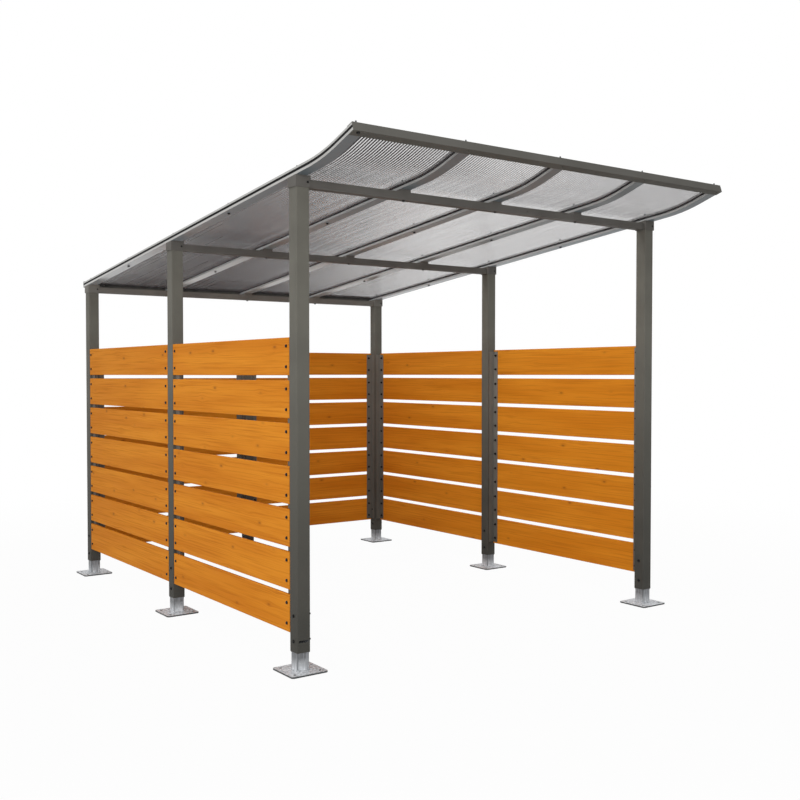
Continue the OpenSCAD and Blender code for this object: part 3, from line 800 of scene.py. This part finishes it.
foot_heads, foot_nuts = [], []
for name in nodes:
    if name.startswith("post_"):
        low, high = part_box(name)
        y = middle(name, 1)
        for z in FOOT_BOLT_Z:
            foot_heads.append((Vector((low.x, y, z)), Vector((-1, 0, 0))))
            foot_nuts.append((Vector((high.x, y, z)), Vector((1, 0, 0))))
bolts("foot_bolt_heads", foot_heads, black_zinc, "powdercoat",
      **{"Washer width": 0.018, "Head width": 0.0155, "Head height": 0.006,
         "Crown width": 0.0125, "Thread width": 0.008, "Thread length": 0.0005})
bolts("foot_bolt_nuts", foot_nuts, black_zinc, "powdercoat",
      **{"Washer width": 0.021, "Head width": 0.0185, "Head height": 0.008,
         "Crown width": 0.016, "Thread width": 0.010, "Thread length": 0.011})

# %% [markdown]
# ## Bolts through the roof
# Bolts clamp cap, sheets and rafter together: through the front channel, over each beam and half
# way between the beams. They stand square to the roof and come up from below: heads sit under the
# rafters, or under the beam where the bolt passes through it, and nuts with a thread end stand on
# the caps. Over the posts the head is inside the post. On the front channel a small nut with a thin
# thread end shows. The roof line is worked out first, and rays square to it find each surface.

# %% The roof line
ROOF_SLOPE, TIP_SLOPE = math.radians(5.95), math.radians(18.5)
ROOF_UP = Vector((0, math.sin(ROOF_SLOPE), math.cos(ROOF_SLOPE)))
TIP_UP = Vector((0, math.sin(TIP_SLOPE), math.cos(TIP_SLOPE)))
REACH_M = 0.3
LIP_IN_M = 0.012
HEAD_SEAT_M = 0.008
TIP_END_M = 0.0005

half_bay = (POST_Y["mid"] - POST_Y["front"]) / 2
open_rows = (POST_Y["front"] + half_bay, POST_Y["mid"] + half_bay)
beam_rows = {POST_Y[row_name]: f"beam_{row_name}" for row_name in ("front", "mid", "rear")}
roof_line = {row_name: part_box(f"post_{row_name}_left")[1].z + HEAD_SEAT_M
             for row_name in ("front", "rear")}
fall = (roof_line["front"] - roof_line["rear"]) / (POST_Y["rear"] - POST_Y["front"])
tip_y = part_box("rafter_1")[0].y
tip_z = min(v.co.z for v in nodes["rafter_1"].data.vertices if v.co.y < tip_y + TIP_END_M)
print("roof falls in mm per m:", round(1000 * fall, 1))

# %% Roof bolts
RAFTERS = 5

cap_nuts, lip_nuts, roof_heads = [], [], []
for k in range(1, RAFTERS + 1):
    x = middle(f"rafter_{k}", 0)
    beside = (BESIDE_M, 0, 0)
    lip = Vector((x, tip_y, tip_z)) + LIP_IN_M * Vector((0, TIP_UP.z, -TIP_UP.y))
    lip_nuts.append(landing(lip + REACH_M * TIP_UP, -TIP_UP, "edge_front", beside=beside))
    if k == 1:
        roof_heads.append(landing(lip - REACH_M * TIP_UP, TIP_UP, "edge_front", beside=beside))
    for y in (*open_rows, *beam_rows):
        foot_point = Vector((x, y, roof_line["front"] - fall * (y - POST_Y["front"])))
        cap_nuts.append(landing(foot_point + REACH_M * ROOF_UP, -ROOF_UP, f"cap_{k}",
                                beside=beside))
        if y in open_rows:
            roof_heads.append(landing(foot_point - REACH_M * ROOF_UP, ROOF_UP, f"rafter_{k}",
                                      beside=beside))
        elif 1 < k < RAFTERS:
            roof_heads.append(landing(foot_point - REACH_M * ROOF_UP, ROOF_UP, beam_rows[y],
                                      beside=beside))
bolts("cap_nuts", cap_nuts, black_zinc, "powdercoat",
      **{"Washer width": 0.020, "Head width": 0.0150, "Head height": 0.0065,
         "Crown width": 0.013, "Thread width": 0.008, "Thread length": 0.012})
bolts("lip_nuts", lip_nuts, black_zinc, "powdercoat",
      **{"Washer width": 0.015, "Washer thickness": 0.001, "Head width": 0.013,
         "Head height": 0.0045, "Crown width": 0.011, "Thread width": 0.007,
         "Thread length": 0.011})
bolts("roof_bolt_heads", roof_heads, black_zinc, "powdercoat",
      **{"Washer width": 0.018, "Head width": 0.0145, "Head height": 0.006,
         "Crown width": 0.012, "Thread width": 0.006, "Thread length": 0.0006})

# %% [markdown]
# ## Bolts in the beam heads
# A square head at each end of a beam fits over the post top. One bolt in its front face, towards
# the right, and on the right side one in its outer face hold it.

# %% Beam head bolts
HEAD_BOLT_DROP = 0.027
HEAD_FACE_SHIFT = 0.025
HIGH_M = 4.0
HEAD_WIDE_M = 0.080

head_bolts = []
for row_name, y in POST_Y.items():
    beam = f"beam_{row_name}"
    for side, out in (("left", -1), ("right", 1)):
        x = POST_X[side]
        top = landing((x - out * HEAD_WIDE_M / 3, y, HIGH_M), (0, 0, -1), beam)[0].z
        z = top - HEAD_BOLT_DROP
        head_bolts.append(landing((x + HEAD_FACE_SHIFT, y - 1, z), (0, 1, 0), beam))
        if side == "right":
            head_bolts.append(landing((x + 1.0, y, z), (-1, 0, 0), beam))
bolts("beam_head_bolts", head_bolts, black_zinc, "powdercoat",
      **{"Washer width": 0.012, "Washer thickness": 0.001, "Head width": 0.010,
         "Head height": 0.004, "Crown width": 0.008, "Thread width": 0.005,
         "Thread length": 0.0004})

# %% [markdown]
# ## Weld beads on the feet
# The stub is welded all round to its base plate, and the zinc flows over the weld. A smooth tube
# along the seam would look like glue: a weld is a row of overlapping ripples. So a tree takes the
# path as a curve, walks along it in even steps and sets a flattened drop at each step, turned along
# the path.

# %% The weld tree
weld_tree = bpy.data.node_groups.new("weld_bead", "GeometryNodeTree")
weld_tree.interface.new_socket("Path", in_out="INPUT", socket_type="NodeSocketGeometry")
for size_name, kind, value in (("Ripple step", "NodeSocketFloat", 0.005),
                               ("Bead width", "NodeSocketFloat", 0.011),
                               ("Finish", "NodeSocketMaterial", None)):
    socket = weld_tree.interface.new_socket(size_name, in_out="INPUT", socket_type=kind)
    if value is not None:
        socket.default_value = value
weld_tree.interface.new_socket("Weld", in_out="OUTPUT", socket_type="NodeSocketGeometry")
given = add(weld_tree, "NodeGroupInput").outputs
path = add(weld_tree, "GeometryNodeMeshToCurve", {0: given["Path"]})
walk = add(weld_tree, "GeometryNodeCurveToPoints",
           {"Curve": path.outputs[0], "Length": given["Ripple step"]}, mode="LENGTH")
drop = add(weld_tree, "GeometryNodeMeshUVSphere", {"Segments": 8, "Rings": 5, "Radius": 0.5})
wide = add(weld_tree, "ShaderNodeVectorMath",
           {0: (1.0, 1.0, 0.9), "Scale": given["Bead width"]}, operation="SCALE")
beads = add(weld_tree, "GeometryNodeInstanceOnPoints",
            {"Points": walk.outputs[0], "Instance": drop.outputs["Mesh"],
             "Rotation": walk.outputs["Rotation"], "Scale": wide.outputs[0]})
solid_beads = add(weld_tree, "GeometryNodeRealizeInstances", {0: beads.outputs[0]})
smooth_beads = add(weld_tree, "GeometryNodeSetShadeSmooth", {0: solid_beads.outputs[0]})
zinced = add(weld_tree, "GeometryNodeSetMaterial",
             {"Geometry": smooth_beads.outputs[0], "Material": given["Finish"]})
add(weld_tree, "NodeGroupOutput", {0: zinced.outputs[0]})
print("weld tree nodes:", len(weld_tree.nodes))

# %% [markdown]
# ## Where the welds run
# Each weld follows a square with rounded corners round the foot of its stub. All seven paths go
# into one mesh, so the tree runs once.

# %% Weld every stub to its plate
STUB_HALF_M = 0.032
STUB_CORNER_M = 0.005
CORNER_STEPS = 4

loop = []
for corner in range(4):
    sign_x, sign_y = ((1, 1), (-1, 1), (-1, -1), (1, -1))[corner]
    for i in range(CORNER_STEPS + 1):
        angle = math.radians(90 * corner + 90 * i / CORNER_STEPS)
        loop.append((sign_x * (STUB_HALF_M - STUB_CORNER_M) + STUB_CORNER_M * math.cos(angle),
                     sign_y * (STUB_HALF_M - STUB_CORNER_M) + STUB_CORNER_M * math.sin(angle)))
points, edges = [], []
for name in nodes:
    if name.startswith("foot_"):
        stub_x, stub_y = middle(name, 0), middle(name, 1)
        first = len(points)
        points += [(stub_x + x, stub_y + y, PLATE_TOP_M) for x, y in loop]
        edges += [(first + i, first + (i + 1) % len(loop)) for i in range(len(loop))]
weld_mesh = bpy.data.meshes.new("foot_welds")
weld_mesh.from_pydata(points, edges, [])
welds = bpy.data.objects.new("foot_welds", weld_mesh)
scene.collection.objects.link(welds)
maker = welds.modifiers.new("weld", "NODES")
maker.node_group = weld_tree
for item in weld_tree.interface.items_tree:
    if item.in_out == "INPUT" and item.name == "Finish":
        maker[item.identifier] = galvanised
solid = bpy.data.meshes.new_from_object(welds.evaluated_get(bpy.context.evaluated_depsgraph_get()))
welds.modifiers.clear()
welds.data = solid
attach(welds, "root")
print("weld faces:", len(solid.polygons))

# %% [markdown]
# ## Studio
# The shelter stands in a white studio. A wide dome lights it softly, one large lamp stands at the
# left of the front, a weak one lights the left wall from the side, and another hangs over the right
# of the roof so that the sheets glow there. A floor and a backdrop could be lit until they are
# white, but that light would wash out the finishes. So the camera, reflections and see-through
# parts simply meet white, and the floor keeps a faint shadow. Under the base plates the floor is
# left dark, because no light reaches the ground in the anchor holes.

# %% World
DOME_LEVEL = 0.72


def meets_white(tree):
    """1 for a ray from the camera, off a shiny surface or through a clear one, and else 0."""
    rays = add(tree, "ShaderNodeLightPath").outputs
    mirrored = add(tree, "ShaderNodeMath",
                   {0: rays["Is Camera Ray"], 1: rays["Is Glossy Ray"]}, operation="MAXIMUM")
    return add(tree, "ShaderNodeMath",
               {0: mirrored.outputs[0], 1: rays["Is Transmission Ray"]},
               operation="MAXIMUM").outputs[0]


world = bpy.data.worlds.new("studio")
scene.world = world
world.use_nodes = True
tree = world.node_tree
tree.nodes.clear()
dome = add(tree, "ShaderNodeBackground", {"Color": linear("#F7F8FA"), "Strength": DOME_LEVEL})
white = add(tree, "ShaderNodeBackground", {"Color": linear("#FFFFFF"), "Strength": 1.0})
mixed = add(tree, "ShaderNodeMixShader",
            {0: meets_white(tree), 1: dome.outputs[0], 2: white.outputs[0]})
add(tree, "ShaderNodeOutputWorld", {0: mixed.outputs[0]})
print("dome level:", DOME_LEVEL)

# %% Floor
FLOOR_WHITE_NEAR = 0.972
FLOOR_NEAR_M, FLOOR_FAR_M = 2.5, 7.0
FLOOR_HALF_M = 200.0
PLATE_COVER_M = 0.005

# A pale matt paint that takes the shadow, under the white that the camera meets.
floor_paint, tree, output, place = blank_material("pale_studio_floor")
away = add(tree, "ShaderNodeVectorMath", {0: place}, operation="LENGTH")
fade = add(tree, "ShaderNodeMapRange",
           {"Value": away.outputs["Value"], "From Min": FLOOR_NEAR_M, "From Max": FLOOR_FAR_M,
            "To Min": FLOOR_WHITE_NEAR, "To Max": 1.0}, interpolation_type="SMOOTHSTEP")
open_floor = fade.outputs[0]
for name in nodes:
    if name.startswith("foot_"):
        low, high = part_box(name)
        offset = add(tree, "ShaderNodeVectorMath",
                     {0: place, 1: (middle(name, 0), middle(name, 1), 0.0)},
                     operation="SUBTRACT")
        reach = add(tree, "ShaderNodeSeparateXYZ",
                    {"Vector": add(tree, "ShaderNodeVectorMath", {0: offset.outputs[0]},
                                   operation="ABSOLUTE").outputs[0]}).outputs
        farther = add(tree, "ShaderNodeMath", {0: reach["X"], 1: reach["Y"]}, operation="MAXIMUM")
        beyond = add(tree, "ShaderNodeMath",
                     {0: farther.outputs[0], 1: (high.x - low.x) / 2 - PLATE_COVER_M},
                     operation="GREATER_THAN")
        open_floor = add(tree, "ShaderNodeMath",
                         {0: open_floor, 1: beyond.outputs[0]}, operation="MULTIPLY").outputs[0]
share = add(tree, "ShaderNodeMath", {0: meets_white(tree), 1: open_floor}, operation="MULTIPLY")
paint = add(tree, "ShaderNodeBsdfDiffuse", {"Color": linear("#B4B3B0")})
glow = add(tree, "ShaderNodeEmission", {"Color": linear("#FFFFFF"), "Strength": 1.0})
ground = add(tree, "ShaderNodeMixShader",
             {0: share.outputs[0], 1: paint.outputs[0], 2: glow.outputs[0]})
tree.links.new(ground.outputs[0], output.inputs[0])

floor_mesh = bpy.data.meshes.new("studio_floor")
floor_mesh.from_pydata([(x * FLOOR_HALF_M, y * FLOOR_HALF_M, 0.0)
                        for x, y in ((-1, -1), (1, -1), (1, 1), (-1, 1))], [], [(0, 1, 2, 3)])
floor_mesh.materials.append(floor_paint)
studio_floor = bpy.data.objects.new("studio_floor", floor_mesh)
scene.collection.objects.link(studio_floor)
print("floor nodes:", len(tree.nodes))


# %% Lamps
def lamp(name, place_at, aim, wide, tall, watts, spread=180):
    """A soft oblong lamp that faces a point; spread in degrees narrows its beam."""
    data = bpy.data.lights.new(name, "AREA")
    data.shape = "RECTANGLE"
    data.size, data.size_y = wide, tall
    data.energy = watts
    data.spread = math.radians(spread)
    item = bpy.data.objects.new(name, data)
    item.location = place_at
    item.rotation_euler = (Vector(aim) - Vector(place_at)).to_track_quat("-Z", "Y").to_euler()
    scene.collection.objects.link(item)


lamp("left_lamp", (-5.3, -6.6, 2.6), aim=(0.0, 0.0, 1.1), wide=4.0, tall=4.0, watts=250)
lamp("side_lamp", (-7.0, 2.2, 1.7), aim=(-1.2, 1.0, 1.1), wide=3.0, tall=2.5, watts=40)
lamp("roof_lamp", (-1.6, 0.6, 5.5), aim=(1.3, -0.4, 1.4), wide=2.0, tall=2.0, watts=35, spread=70)
scene.view_settings.view_transform = "Standard"
